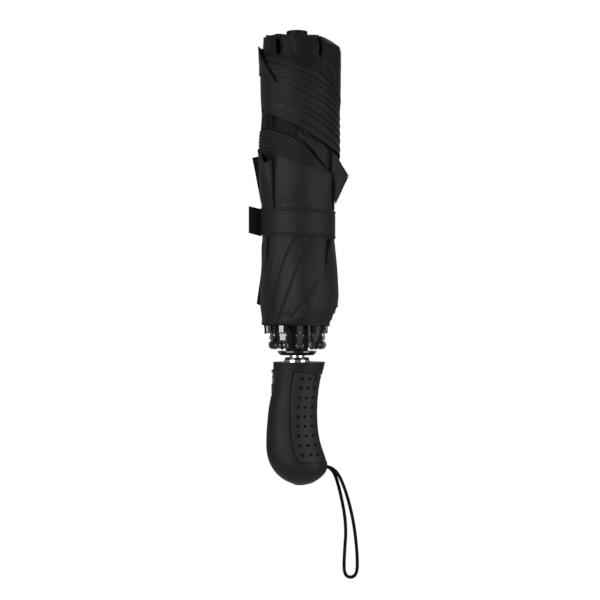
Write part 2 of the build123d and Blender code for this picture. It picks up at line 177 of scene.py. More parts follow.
def cloth_material(name, color, stitch_at, second_stitch=None, specular=0.17):
    """Tight plain weave with a dashed stitch line along the hem and painted shade along the hem's lower edge
    below it.
    """
    n = Nodes(name).base(color, CLOTH_ROUGH, specular=specular, sheen=0.025)
    uv = n.new("ShaderNodeUVMap").outputs["UV"]
    parts = n.new("ShaderNodeSeparateXYZ")
    n.link(uv, parts.inputs[0])
    along, across = parts.outputs[0], parts.outputs[1]
    warp = n.math("SINE", n.math("MULTIPLY", along, 2 * math.pi / WEAVE_PITCH))
    weft = n.math("SINE", n.math("MULTIPLY", across, 2 * math.pi / WEAVE_PITCH))
    weave = n.math("MULTIPLY", warp, weft)
    crinkle = n.new("ShaderNodeTexNoise")
    crinkle.inputs["Scale"].default_value = 210
    crinkle.inputs["Detail"].default_value = 5
    crinkle.inputs["Roughness"].default_value = 0.6
    coords = n.new("ShaderNodeTexCoord").outputs["Object"]
    n.link(coords, crinkle.inputs["Vector"])
    stitch_wave = n.math("SINE", n.math("MULTIPLY", along, 2 * math.pi / STITCH_PITCH))
    dash = n.math("GREATER_THAN", stitch_wave, -0.45)
    seam = None
    for line in (stitch_at, second_stitch):
        if line is None:
            continue
        gap = n.math("ABSOLUTE", n.math("SUBTRACT", across, line * MM))
        near = n.math("LESS_THAN", gap, STITCH_HALF_WIDTH)
        seam = near if seam is None else n.math("MAXIMUM", seam, near)
    thread = n.math("MULTIPLY", seam, dash)
    # Painted shade: the strip next to the hem's lower edge is marked here.
    edge = n.math("LESS_THAN", across, HEM_SHADE_HEIGHT)
    first = n.bump(crinkle.outputs["Fac"], 0.5, 0.0008)
    second = n.bump(weave, 0.25, 0.00008, first)
    third = n.bump(thread, 0.6, 0.00025, second)
    n.link(third, n.bsdf.inputs["Normal"])
    mix = n.new("ShaderNodeMix", data_type="RGBA")
    mix.inputs["A"].default_value = (*color, 1)
    mix.inputs["B"].default_value = (*[c * THREAD_BRIGHTER for c in color], 1)
    n.link(n.math("MULTIPLY", thread, 0.8), mix.inputs["Factor"])
    # Painted shade along the hem's lower edge: the colour there is mixed towards near black.
    shaded = n.new("ShaderNodeMix", data_type="RGBA")
    shaded.inputs["B"].default_value = HEM_SHADE_COLOR
    n.link(n.math("MULTIPLY", edge, 0.9), shaded.inputs["Factor"])
    n.link(mix.outputs["Result"], shaded.inputs["A"])
    n.link(shaded.outputs["Result"], n.bsdf.inputs["Base Color"])
    n.link(n.math("MULTIPLY_ADD", edge, 0.45, CLOTH_ROUGH), n.bsdf.inputs["Roughness"])
    return n.mat


# Dimples of the grip inlay in metres: pitch and start of the rows, pitch of the columns round the
# handle and along its surface, and the radius that gets painted shade. The columns fan out from the
# handle's middle line, a parabola in x over z.
DIMPLE_ROW_PITCH = 0.00678
DIMPLE_ROW_START = 0.00189
DIMPLE_COLUMN_TURN = math.radians(21.0)
DIMPLE_COLUMN_START = 0.24
DIMPLE_COLUMN_PITCH = 0.0056
DIMPLE_FIRST_ANGLE = math.radians(6.0)
DIMPLE_RADIUS = 0.00122
DIMPLE_SHARPNESS = 2600.0
DIMPLE_SHADE_COLOR = (0.001, 0.001, 0.001, 1)
RUBBER_ROUGH = 0.55
MIDDLE_BEND, MIDDLE_X, MIDDLE_Z = 4.3, -0.0033, 0.005


def dimpled_rubber(name, color):
    """Grip inlay; the floors of its round dimples get painted shade and are duller than the skin."""
    n = Nodes(name).base(color, RUBBER_ROUGH, specular=0.2)
    coords = n.new("ShaderNodeTexCoord").outputs["Object"]
    parts = n.new("ShaderNodeSeparateXYZ")
    n.link(coords, parts.inputs[0])
    x, y, z = parts.outputs
    rise = n.math("SUBTRACT", z, MIDDLE_Z)
    middle = n.math("MULTIPLY_ADD", n.math("MULTIPLY", rise, rise), MIDDLE_BEND, MIDDLE_X)
    angle = n.math("ARCTAN2", n.math("SUBTRACT", x, middle), n.math("ABSOLUTE", y))
    turn = n.math("SUBTRACT", n.math("DIVIDE", angle, DIMPLE_COLUMN_TURN), DIMPLE_COLUMN_START)
    across = n.math("MULTIPLY", n.math("SUBTRACT", n.math("FRACT", turn), 0.5), DIMPLE_COLUMN_PITCH)
    in_grid = n.math("GREATER_THAN", angle, DIMPLE_FIRST_ANGLE)
    row = n.math("DIVIDE", n.math("SUBTRACT", z, DIMPLE_ROW_START), DIMPLE_ROW_PITCH)
    up = n.math("MULTIPLY", n.math("SUBTRACT", n.math("FRACT", row), 0.5), DIMPLE_ROW_PITCH)
    square = n.math("ADD", n.math("MULTIPLY", across, across), n.math("MULTIPLY", up, up))
    radius = n.math("SQRT", square)
    hole = n.math("MULTIPLY", n.math("SUBTRACT", DIMPLE_RADIUS, radius), DIMPLE_SHARPNESS)
    pit = n.math("MULTIPLY", n.math("MINIMUM", n.math("MAXIMUM", hole, 0.0), 1.0), in_grid)
    grain = n.new("ShaderNodeTexNoise")
    grain.inputs["Scale"].default_value = 1500
    n.link(coords, grain.inputs["Vector"])
    n.link(n.bump(grain.outputs["Fac"], 0.12, 0.0001), n.bsdf.inputs["Normal"])
    n.link(n.math("MULTIPLY_ADD", pit, 0.4, RUBBER_ROUGH), n.bsdf.inputs["Roughness"])
    # Painted shade: the dimple floors are mixed towards near black.
    mix = n.new("ShaderNodeMix", data_type="RGBA")
    mix.inputs["A"].default_value = (*color, 1)
    mix.inputs["B"].default_value = DIMPLE_SHADE_COLOR
    n.link(n.math("MULTIPLY", pit, 0.85), mix.inputs["Factor"])
    n.link(mix.outputs["Result"], n.bsdf.inputs["Base Color"])
    return n.mat


# Height of the stitch lines above the lower edge, in millimetres.
HEM_STITCH = 1.7
STRAP_STITCHES = (1.9, 17.7)
cloth = cloth_material("canopy_cloth", (0.0064, 0.0064, 0.0067), HEM_STITCH)
# Darker copy of the cloth for the left part of the inner roll: painted shade.
roll_shade_cloth = cloth_material("canopy_cloth_roll_shade", (0.0036, 0.0036, 0.0038), HEM_STITCH, specular=0.08)
# Darker copy of the cloth for the shoulder at the top: painted shade.
top_shade_cloth = cloth_material("canopy_cloth_top_shade", (0.0042, 0.0042, 0.0044), HEM_STITCH, specular=0.10)
shade_cloth = cloth_material("canopy_cloth_shade", (0.0016, 0.0016, 0.0017), HEM_STITCH, specular=0.03)
strap_cloth = cloth_material("strap_cloth", (0.0063, 0.0063, 0.0066), *STRAP_STITCHES, specular=0.165)
# Darker copy of the strap cloth for its free end: painted shade.
strap_end_shade_cloth = cloth_material("strap_end_shade_cloth", (0.0030, 0.0030, 0.0031), *STRAP_STITCHES, specular=0.09)
handle_black = grained("handle_soft", (0.007, 0.007, 0.0072), 0.52, specular=0.15, sheen=0.015)
pad_rubber = dimpled_rubber("grip_rubber", (0.0095, 0.0095, 0.0098))
gloss_black = grained("gloss_black", (0.006, 0.006, 0.006), 0.18, scale=300, strength=0.05, coat=0.3)
deep_black = grained("deep_black", (0.0016, 0.0016, 0.0016), 0.5, scale=700, strength=0.12, specular=0.12)
satin_black = grained("satin_black", (0.003, 0.003, 0.003), 0.42, scale=700, strength=0.12)
chrome = grained("bright_chrome", (0.62, 0.62, 0.64), 0.16, scale=400, strength=0.03, metallic=1.0)
shaft_metal = grained("shaft_chrome", (0.66, 0.66, 0.68), 0.2, scale=500, strength=0.04, metallic=1.0)
dark_steel = grained("plain_steel", (0.40, 0.40, 0.42), 0.34, scale=600, strength=0.08, metallic=1.0)
rib_black = grained("rib_black", (0.075, 0.075, 0.078), 0.18, scale=200, strength=0.2, metallic=0.8, coat=0.8)
rivet_metal = grained("rivet_metal", (0.55, 0.55, 0.57), 0.22, scale=500, strength=0.05, metallic=1.0)


def paint(node, *mats):
    """Gives a CAD node its materials; its shape is left alone."""
    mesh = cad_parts[node].data
    mesh.materials.clear()
    for mat in mats:
        mesh.materials.append(mat)
    return mesh


for node, mat in {
    "handle_front_shell": handle_black,
    "handle_rear_shell": handle_black,
    "grip_pad": pad_rubber,
    "button": satin_black,
    "button_plate": chrome,
    "latch_plate": dark_steel,
    "shaft_pin": dark_steel,
    "shaft_collar": gloss_black,
    "collar_band": chrome,
    "inner_tube": shaft_metal,
    "middle_tube": shaft_metal,
    "outer_tube": shaft_metal,
    "crown": satin_black,
    "top_cap": deep_black,
    "runner": deep_black,
    "runner_cup": gloss_black,
}.items():
    paint(node, mat)

# Rivet heads of the middle and outer ribs are bright: they are the faces that stand outside the
# channel walls, further from the rib's own middle plane than CHANNEL_SIDE, in metres.
RIB_COUNT = 10
RIB_FIRST = -84.0
RIB_STEP = 36.0
CHANNEL_SIDE = 0.00225
for k in range(1, RIB_COUNT + 1):
    azimuth = math.radians(RIB_FIRST + RIB_STEP * (k - 1))
    side = (math.sin(azimuth), -math.cos(azimuth))
    paint(f"main_rib_{k}", rib_black)
    paint(f"stretcher_{k}", rib_black)
    for kind in ("middle_rib", "outer_rib"):
        mesh = paint(f"{kind}_{k}", rib_black, rivet_metal)
        for face in mesh.polygons:
            off = abs(face.center.x * side[0] + face.center.y * side[1])
            face.material_index = 1 if off > CHANNEL_SIDE else 0

# ---- shape of the wound bundle ------------------------------------------------
# Reach to the left, reach to the right, half depth near the top and the radius that the ribs need,
# each by height, in millimetres.
LEFT = (
    (66, 24.6), (73, 25.3), (77, 25.6), (83, 26.6), (92, 26.9), (104, 26.6), (118, 25.6),
    (131, 25.0), (157, 25.0), (163, 26.2), (176, 26.6), (196, 27.4), (205, 27.2), (213, 26.3),
    (222, 25.7), (232, 26.3), (245, 26.6), (254, 26.6), (262, 24.6), (270, 23.4), (280.5, 22.6),
)
RIGHT = (
    (66, 24.0), (72, 25.0), (77, 26.6), (83.5, 28.9), (92, 29.6), (106, 28.8), (122, 27.6),
    (131, 26.9), (157, 26.9), (166, 28.6), (186, 30.9), (197, 31.3), (224, 30.6), (233, 31.0),
    (258, 31.8), (266, 31.8), (270, 31.0), (274, 25.5), (277, 20.0), (280.5, 13.0),
)
DEEP_TOP = ((262, 27.2), (270, 27.2), (274, 26.7), (277, 25.8), (280.5, 24.0))
RIB_RADIUS = ((0, 23.15), (262, 23.15), (270, 6.0), (290, 6.0))
DEPTH_TO_WIDTH = 0.965

# Radius that turns an angle into a length along the cloth, at the sides and at the back.
SIDE_RADIUS = 27
BACK_RADIUS = 28


def table(rows, z):
    """Value at a height, read from rows of height and value."""
    heights, values = zip(*rows)
    return np.interp(z, heights, values)


def base(z):
    """Centre shift, half width and half depth of the bundle at a height."""
    left, right = table(LEFT, z), table(RIGHT, z)
    wide = (right + left) / 2
    deep = np.where(np.asarray(z) > DEEP_TOP[0][0], table(DEEP_TOP, z), wide * DEPTH_TO_WIDTH)
    return (right - left) / 2, wide, deep


def place(theta, z, lift):
    """Points of the bundle: theta 0 faces the front, +90 degrees the right; they stay clear of the ribs."""
    shift, wide, deep = base(z)
    x = shift + (wide + lift) * np.sin(theta)
    y = -(deep + lift) * np.cos(theta)
    radius = np.hypot(x, y)
    least = table(RIB_RADIUS, z)
    grow = np.maximum(1.0, (least + 0.12 * np.maximum(radius - 20, 0)) / np.maximum(radius, 1))
    grow = np.where(radius > least + 0.6, 1.0, grow)
    return np.stack([x * grow, y * grow, z + 0 * x], axis=-1)


def front_x(theta, z):
    """Sideways place of the bundle's surface at an angle and a height."""
    shift, wide, _ = base(z)
    return shift + wide * np.sin(theta)


def angle_at(x, z):
    """Angle of the front point that shows at x and height z."""
    shift, wide, _ = base(z)
    return float(np.arcsin(np.clip((x - shift) / wide, -1, 1)))


def seen(x, z):
    """Angle and height of the surface point that the camera meets at x, z on the middle plane."""
    theta, height = 0.0, z
    for _ in range(4):
        _, _, deep = base(height)
        share = 1 - deep * math.cos(theta) / CAMERA_AWAY
        height = CAMERA_Z + (z - CAMERA_Z) * share
        theta = angle_at(CAMERA_X + (x - CAMERA_X) * share, height)
    return theta, height


def facing(theta):
    """True on the half of the bundle that the camera sees."""
    return np.cos(theta) > -0.05


# Size, number round the bundle, climb per millimetre and phase of each wave in the cloth.
WAVES = (
    (0.34, 3, 0.021, 0.4), (0.24, 5, -0.034, 1.9), (0.14, 8, 0.047, 3.3),
    (0.06, 13, -0.062, 0.9), (0.03, 19, 0.11, 5.1),
)


def ripple(theta, z):
    """Slow waves that all layers of cloth share."""
    total = 0
    for size, turns, climb, phase in WAVES:
        total = total + size * np.sin(turns * theta + climb * z + phase + 0.8 * np.sin(0.03 * z + turns))
    return total


def crease(theta, z, start, end, depth, width, step=0.0, fade=7.0, ends=6.0):
    """A groove between two front points; step raises the cloth on its right-hand side."""
    x = front_x(theta, z)
    (t0, z0), (t1, z1) = seen(*start), seen(*end)
    x0, x1 = float(front_x(t0, z0)), float(front_x(t1, z1))
    length = math.hypot(x1 - x0, z1 - z0)
    ux, uz = (x1 - x0) / length, (z1 - z0) / length
    along = (x - x0) * ux + (z - z0) * uz
    across = -(x - x0) * uz + (z - z0) * ux
    hold = smooth(-0.5, ends, along) * smooth(-0.5, ends, length - along)
    hold = hold * facing(theta)
    groove = -depth * np.exp(-((across / width) ** 2))
    ridge = np.where(across > 0, np.exp(-np.abs(across) / fade), 0.0) * smooth(0, width, across)
    return hold * (groove + step * ridge)


def pleat(theta, z, points, drop, width=0.28, fade=8.0, side=1, ends=5.0):
    """A folded edge along a standing line of front points; the cloth is lower on the given side of it."""
    line = np.array([(h, float(front_x(t, h))) for t, h in (seen(*p) for p in points)])
    line = line[np.argsort(line[:, 0])]
    tilt = (line[-1, 1] - line[0, 1]) / (line[-1, 0] - line[0, 0])
    across = side * (front_x(theta, z) - np.interp(z, line[:, 0], line[:, 1])) / math.hypot(1, tilt)
    hold = smooth(-0.5, ends, z - line[0, 0]) * smooth(-0.5, ends, line[-1, 0] - z)
    hold = hold * facing(theta)
    low = -drop * np.exp(-np.maximum(across, 0) / fade) * smooth(-width, width, across)
    lip = 0.16 * drop * np.exp(-((np.minimum(across, 0) / 1.6) ** 2)) * (1 - smooth(-width, width, across))
    return hold * (low + lip)


def back_crease(theta, z, where, tilt, z0, z1, depth, width):
    """A groove on the sides or the back, leaning by tilt millimetres per millimetre."""
    turn = (np.degrees(theta) - where + 180) % 360 - 180
    across = np.radians(turn) * BACK_RADIUS - tilt * (z - (z0 + z1) / 2)
    hold = smooth(z0, z0 + 8, z) * smooth(0, 8, z1 - z)
    groove = np.exp(-((across / width) ** 2))
    bulge = np.exp(-(((across - 2.6 * width) / (2.2 * width)) ** 2))
    return -depth * hold * groove + 0.45 * depth * hold * bulge


# Height of the cloth over its neighbours, by distance from the hem's edge: a rolled edge, a flat
# double layer, the sunken stitch line and the single cloth beyond it.
HEM_ROWS = np.array([0.0, 0.1, 0.3, 0.6, 1.0, 1.4, 1.6, 1.8, 2.05, 2.4, 2.9, 3.8])
HEM_LIFT = np.array([-0.30, 0.10, 0.30, 0.36, 0.34, 0.26, 0.06, 0.06, 0.22, 0.15, 0.06, 0.0])
TUCK_ROWS = (0, 1.2, 4.5, 9.0, 20.0)
TUCK_DROP = (0, 0.1, 0.9, 1.3, 1.5)


def distances(total, rows):
    """Rows of points by distance from the hem: close together on the hem, even beyond it."""
    share = np.linspace(0, 1, rows)[1:]
    return np.vstack([HEM_ROWS[:, None] + 0 * total, HEM_ROWS[-1] + share[:, None] * (total - HEM_ROWS[-1])])


def turn_of_cloth(name, theta, hem, far, level, detail, rows, bold=1.0, tuck=0.0):
    """One turn of cloth, from its hem at height hem to height far, where the next turn covers it.

    Level is its height over the bundle, detail adds its folds, bold scales the hem, and tuck sinks
    what the next turn covers. The hem is calmer on the right, where the turns crowd together.
    """
    theta = np.asarray(theta, float)
    hem = hem + 0 * theta
    far = far + 0 * theta
    total = np.abs(far - hem)
    dist = distances(total, rows)
    sign = np.where(far > hem, 1.0, -1.0)
    z = hem + sign * dist
    tt = np.broadcast_to(theta, z.shape)
    lift = level + ripple(tt, z)
    calm = 1 - 0.55 * smooth(0.6, 1.3, tt)
    lift = lift + bold * calm * np.interp(dist, HEM_ROWS, HEM_LIFT)
    lift = lift - tuck * calm * np.interp(dist, TUCK_ROWS, TUCK_DROP)
    lift = lift + detail(tt, z)
    points = place(tt, z, lift)
    arc = np.concatenate([[0], np.cumsum(np.linalg.norm(np.diff(points[-1], axis=0), axis=1))])
    uv = np.stack([np.broadcast_to(arc, z.shape), dist], axis=-1)
    obj = add_mesh(name, points.reshape(-1, 3), grid_faces(*z.shape), uv.reshape(-1, 2))
    obj["flat_mm"] = [float(arc[-1]), float(total.mean())]
    return obj


def degrees(first, last, step=1.2):
    """Angles in radians from first to last, given in degrees, about a step apart."""
    return np.radians(np.linspace(first, last, int(abs(last - first) / step) + 2))


def curve_by_x(points, wrap_drop):
    """Height of a slanting hem by angle, from front points; beyond the sides it keeps falling."""
    angles, zs = np.array([seen(x, z) for x, z in points]).T

    def height(theta):
        inside = np.interp(theta, angles, zs)
        over = np.maximum(theta - angles[-1], 0)
        under = np.maximum(angles[0] - theta, 0)
        return inside - over * wrap_drop + under * wrap_drop * 0.5

    return height


# Main slanting lines of the layered hems, from the top one down, and where hems between them end.
HEM_LEFT, HEM_RIGHT = -25.5, 30.4
LINE_A = (
    (-25.5, 266.5), (-12.0, 263.0), (0.5, 258.5), (15.1, 252.5), (23.8, 245.2), (28.8, 237.0), (31.0, 229.5),
)
LINE_B = (
    (-26.0, 258.0), (-13.0, 254.6), (0.5, 251.6), (15.1, 242.7), (22.3, 238.3), (29.4, 230.2), (30.6, 226.0),
)
LINE_C = (
    (-26.3, 249.5), (-14.4, 245.5), (-2.9, 242.0), (4.3, 238.7), (15.1, 233.0), (23.8, 226.8), (30.4, 219.5),
)
LINE_D = ((-26.0, 236.5), (-17.3, 232.6), (2.9, 224.6), (10.1, 221.0), (19.0, 215.0), (30.6, 203.5))
LINE_E = (
    (-25.9, 226.5), (-17.6, 221.8), (-0.2, 214.3), (5.0, 211.1), (14.6, 205.3), (25.2, 197.4), (31.2, 190.5),
)


def between(line_a, line_b, share):
    """Hem line part of the way between two others."""
    xs = np.linspace(HEM_LEFT, HEM_RIGHT, 9)
    za = np.interp(xs, *zip(*line_a))
    zb = np.interp(xs, *zip(*line_b))
    return tuple(zip(xs, za + (zb - za) * share))


upper_lines = [
    LINE_A,
    between(LINE_A, LINE_B, 0.5),
    LINE_B,
    between(LINE_B, LINE_C, 0.5),
    LINE_C,
    between(LINE_C, LINE_D, 0.33),
    between(LINE_C, LINE_D, 0.67),
    LINE_D,
    between(LINE_D, LINE_E, 0.5),
    LINE_E,
]

canopy_pieces = []


def top_folds(theta, z):
    """Folds at the top of the bundle and the fullness between them."""
    total = pleat(theta, z, ((17.0, 270.0), (20.9, 253.5)), 1.0, fade=5.0, ends=3.0)
    total = total + pleat(theta, z, ((-8.5, 286.0), (-3.0, 262.0)), 0.6, fade=9.0)
    total = total + pleat(theta, z, ((9.0, 286.0), (14.5, 260.0)), 0.7, fade=6.0, side=-1)
    total = total + pleat(theta, z, ((24.5, 280.0), (28.5, 246.0)), 0.8, fade=6.0)
    for where in (110, 146, 182, 218, 254, 290):
        total = total + back_crease(theta, z, where, 0.12, 250, 290, 3.2, 1.3)
    return total


def uneven(theta, z):
    """Small waves of the upper turns."""
    return 0.10 * np.sin(4 * theta + 0.05 * z) + 0.07 * np.sin(9 * theta - 0.11 * z)


def seen_at(points):
    """Where the camera meets points on the middle plane, as x and z."""
    share = 1 + points[..., 1] / CAMERA_AWAY
    return CAMERA_X + (points[..., 0] - CAMERA_X) / share, CAMERA_Z + (points[..., 2] - CAMERA_Z) / share


def opening(x, z, centre, half, lean):
    """Below 1 inside a leaning oval, above 1 outside it."""
    dx = x - centre[0] - lean * (z - centre[1])
    return np.hypot(dx / half[0], (z - centre[1]) / half[1])


# Dark mouths of the folds at the top: centre, half size and lean of each oval, as seen. The mesh is
# finer between the given sides, at the height of the mouths.
OPENINGS = (
    ((-13.3, 271.2), (2.1, 7.0), -0.06),
    ((16.3, 275.0), (1.1, 4.6), -0.12),
    ((16.7, 267.4), (1.2, 4.6), 0.10),
)
MOUTH_SIDES = (-17.5, -9.0, 13.0, 21.5)
MOUTH_HEIGHT = 268.0
MOUTH_STEP = 0.006
CAP_RADIUS = 7.0
CAP_UNDERSIDE = 277.0
RIM_HEIGHT = 277.5
RIB_TUCKS = 10
SHOULDER_MEAN_WIDTH = 0.86


def shoulder():
    """The outermost turn: it covers the shoulder and closes in under the cap."""
    angles = [angle_at(x, MOUTH_HEIGHT) for x in MOUTH_SIDES]
    theta = np.unique(
        np.concatenate([
            degrees(-92, 266),
            np.arange(angles[0], angles[1], MOUTH_STEP),
            np.arange(angles[2], angles[3], MOUTH_STEP),
        ])
    )
    hem = curve_by_x(LINE_A, 9.0)(theta)
    rim = RIM_HEIGHT - 1.5 * np.cos(theta) - 0.5 * np.sin(theta) + 0.3 * np.sin(RIB_TUCKS * theta + 1.0)
    total = rim - hem
    dist = distances(total, 70)
    z = hem + dist
    tt = np.broadcast_to(theta, z.shape)
    lift = ripple(tt, z) + np.interp(dist, HEM_ROWS, HEM_LIFT) + top_folds(tt, z)
    x_seen, z_seen = seen_at(place(tt, z, lift))
    for oval in OPENINGS:
        q = opening(x_seen, z_seen, *oval)
        lift = lift + 0.9 * np.exp(-(((q - 1.15) / 0.35) ** 2)) * (q > 0.8) - 2.0 * (1 - smooth(0.6, 1.1, q))
    points = place(tt, z, lift)
    rim_points = points[-1]
    inner = np.stack(
        [CAP_RADIUS * np.sin(theta), -CAP_RADIUS * np.cos(theta), CAP_UNDERSIDE + 0 * theta], axis=-1
    )
    steps = []
    for t in np.linspace(0, 1, 15)[1:]:
        row = rim_points * (1 - t) + inner * t
        row[:, 2] += 0.6 * math.sin(math.pi * t) * np.cos(RIB_TUCKS * theta + 0.6)
        steps.append(row)
    points = np.concatenate([points, np.array(steps)])
    arc = np.concatenate([[0], np.cumsum(np.linalg.norm(np.diff(points[10], axis=0), axis=1))])
    steps_down = np.linalg.norm(np.diff(points, axis=0), axis=2)
    down = np.concatenate([np.zeros((1, len(theta))), np.cumsum(steps_down, axis=0)])
    uv = np.stack([np.broadcast_to(arc, down.shape), down], axis=-1)
    x_seen, z_seen = seen_at(points)
    closed = np.ones(down.shape, bool)
    for oval in OPENINGS:
        closed &= opening(x_seen, z_seen, *oval) > 0.9
    closed |= points[..., 1] > 0
    closed[len(z) - 2:] = True
    kept = closed.ravel()
    faces = [face for face in grid_faces(*down.shape) if kept[list(face)].any()]
    obj = add_mesh("canopy_shoulder", points.reshape(-1, 3), faces, uv.reshape(-1, 2))
    obj["flat_mm"] = [float(arc[-1]) * SHOULDER_MEAN_WIDTH, float(down[-1].mean())]
    return obj


# How far an upper turn goes on above its hem, the least it keeps, and the height where it stops.
TURN_REACH = 18
TURN_LEAST = 4.5
SHOULDER_EDGE = 262.5
canopy_pieces.append(shoulder())
for order, line in enumerate(upper_lines[1:], start=1):
    reach = degrees(-96 + 3 * (order % 3), 256 + 3 * (order % 3))
    hem = curve_by_x(line, 9.0 - 0.3 * order)(reach)
    far = np.minimum(hem + TURN_REACH, np.maximum(hem + TURN_LEAST, SHOULDER_EDGE))
    bold = 1.1 if line in (LINE_B, LINE_C, LINE_D, LINE_E) else 0.6
    name, level = f"canopy_turn_{order}", -0.04 * order
    piece = turn_of_cloth(name, reach, hem, far, level, uneven, rows=14, bold=bold, tuck=0.6)
    canopy_pieces.append(piece)


SLANT_CORNER = (-14.4, 245.5)
SLANT_TOP = (-26.2, 271.0)


def slant_piece():
    """The turn that comes round the left side and ends on a slanting free edge."""
    rows, cols = 50, 90
    corner_angle, _ = seen(*SLANT_CORNER)
    top_angle, top_height = seen(*SLANT_TOP)
    v = np.linspace(0, 1, rows)[:, None]
    end = top_angle + (corner_angle - top_angle) * v ** 0.8
    u = np.linspace(0, 1, cols)[None, :] ** 0.7
    start = math.radians(-172)
    theta = start + (end - start) * u
    low_line = curve_by_x(LINE_C, 9.0)(theta)
    z = top_height + (low_line - top_height) * v
    side = (end - theta) * SIDE_RADIUS
    edge = np.interp(side, (0, 0.3, 0.9, 1.6, 2.2, 8), (-0.2, 0.8, 1.0, 0.9, 0.7, 0.0))
    hem = np.interp(z - low_line, HEM_ROWS, HEM_LIFT)
    stand = 3.0 * smooth(252, 266, z) * smooth(0.5, 1.2, -theta)
    tuck = 2.0 * (1 - smooth(0.0, 0.35, theta - start))
    lift = 0.7 + ripple(theta, z) + edge + hem + stand - tuck
    points = place(theta, z, lift)
    uv = np.stack([z - low_line, side], axis=-1)
    obj = add_mesh("canopy_left_turn", points.reshape(-1, 3), grid_faces(rows, cols), uv.reshape(-1, 2))
    obj["flat_mm"] = [float(side.max()), float((top_height - low_line).mean())]
    return obj


canopy_pieces.append(slant_piece())


# ---- lower cloth ---------------------------------------------------------------
def lower_folds(theta, z):
    """Knife pleats and soft folds of the cloth gathered by the strap."""
    total = pleat(theta, z, ((-2.2, 134.0), (-10.3, 116.6), (-20.7, 80.0)), 1.5, ends=3.0)
    total = total + pleat(theta, z, ((8.9, 134.0), (-1.8, 108.7), (-15.8, 71.0)), 1.4, ends=3.0)
    total = total + pleat(theta, z, ((15.7, 104.5), (7.2, 91.4), (-5.8, 75.0)), 1.4, fade=5.0, ends=4.0)
    total = total + pleat(theta, z, ((-19.6, 136.0), (-20.3, 121.3), (-24.9, 110.5)), 1.5, fade=5.0, side=-1)
    total = total + crease(theta, z, (-26.5, 82.6), (-20.6, 84.0), 1.0, 0.5, 0.3, 3.0, 1.5)
    total = total + pleat(theta, z, ((22.2, 136.0), (20.5, 119.0), (20.5, 80.0)), 0.9, fade=14.0, ends=3.0)
    total = total + crease(theta, z, (-17.3, 154.0), (-17.4, 191.0), 2.6, 0.8, -0.6, 8.0, 3.0)
    total = total + pleat(theta, z, ((8.0, 155.0), (12.4, 181.0)), 0.5, width=1.2, fade=9.0, ends=8.0)
    total = total + crease(theta, z, (25.3, 155.0), (25.2, 180.0), 0.7, 0.8, 0.2, 5.0, 4.0)
    x = front_x(theta, z)
    pocket = np.exp(-(((x + 21.0) / 3.8) ** 2) - (((z - 188.0) / 5.5) ** 2)) * facing(theta)
    total = total - 4.2 * pocket
    for where, tilt in ((118, 0.24), (150, 0.30), (186, 0.2), (214, 0.33), (246, 0.26)):
        total = total + back_crease(theta, z, where, tilt, 74, 134, 1.4, 0.8)
        total = total + back_crease(theta, z, where + 12, -tilt, 154, 198, 1.2, 0.9)
    return total


# First and last hem of the band turns, which close up towards the right.
LINE_G = (
    (-27.2, 210.0), (-18.1, 211.4), (-15.5, 210.3), (-4.3, 206.4), (-0.2, 203.8),
    (8.6, 196.6), (16.6, 187.2), (25.3, 178.8), (29.5, 176.0),
)
LINE_H = (
    (-27.0, 196.0), (-17.3, 195.8), (-1.4, 188.9), (9.4, 185.8), (14.4, 184.7), (25.3, 178.0), (29.5, 175.0),
)
BAND_SHARES = (0.0, 0.17, 0.34, 0.5, 0.67, 0.84, 1.0)
# The bands reach down behind the strap; the last one carries on below it.
BAND_FAR, LAST_BAND_FAR = 168.0, 128.0
lower_lines = [between(LINE_G, LINE_H, share) for share in BAND_SHARES]
for order, line in enumerate(lower_lines):
    reach = degrees(-100 + order, 256 + order, 0.8)
    last = order == len(lower_lines) - 1
    canopy_pieces.append(
        turn_of_cloth(
            f"canopy_band_{order + 1}",
            reach,
            curve_by_x(line, 3.0)(reach),
            LAST_BAND_FAR if last else BAND_FAR,
            0.0,
            lower_folds,
            rows=100 if last else 40,
            tuck=0.0 if last else 1.2,
        )
    )


# Mouth of the tube fold as front points, and the height of its foot at the strap.
TUBE_MOUTH = ((-27.3, 197.0), (-24.0, 193.0), (-20.6, 187.4), (-17.9, 190.0))
TUBE_RIGHT = (-17.9, 175.0)
TUBE_FOOT = 152.0


def tube_fold():
    """Open tube fold at the left, standing off the turns beneath at its mouth."""
    rows, cols = 60, 40
    right, _ = seen(*TUBE_RIGHT)
    theta = np.linspace(right, math.radians(-100), cols)[None, :]
    mouth_at = [seen(x, z) for x, z in TUBE_MOUTH]
    mouth = np.interp(theta, [m[0] for m in mouth_at], [m[1] for m in mouth_at])
    v = np.linspace(0, 1, rows)[:, None] ** 1.4
    z = mouth + (TUBE_FOOT - mouth) * v
    side = (right - theta) * SIDE_RADIUS
    open_out = np.exp(-(((side - 5.0) / 3.0) ** 2)) * (1 - smooth(0, 24, mouth - z))
    edge = np.interp(side, (0, 0.5, 1.2, 3.0), (-0.9, -0.1, 0.35, 0.2))
    hem = np.interp(mouth - z, HEM_ROWS, HEM_LIFT)
    soft = 0.5 * np.exp(-(((side - 6.5 - 0.08 * (mouth - z)) / 1.3) ** 2)) * smooth(0, 12, mouth - z)
    lift = 0.35 + ripple(theta, z) + 2.3 * open_out + edge + hem - soft
    points = place(theta, z, lift)
    uv = np.stack([side + 0 * z, mouth - z], axis=-1)
    obj = add_mesh("canopy_tube_left", points.reshape(-1, 3), grid_faces(rows, cols), uv.reshape(-1, 2))
    obj["flat_mm"] = [float(side.max()), float((mouth - TUBE_FOOT).mean())]
    return obj


canopy_pieces.append(tube_fold())

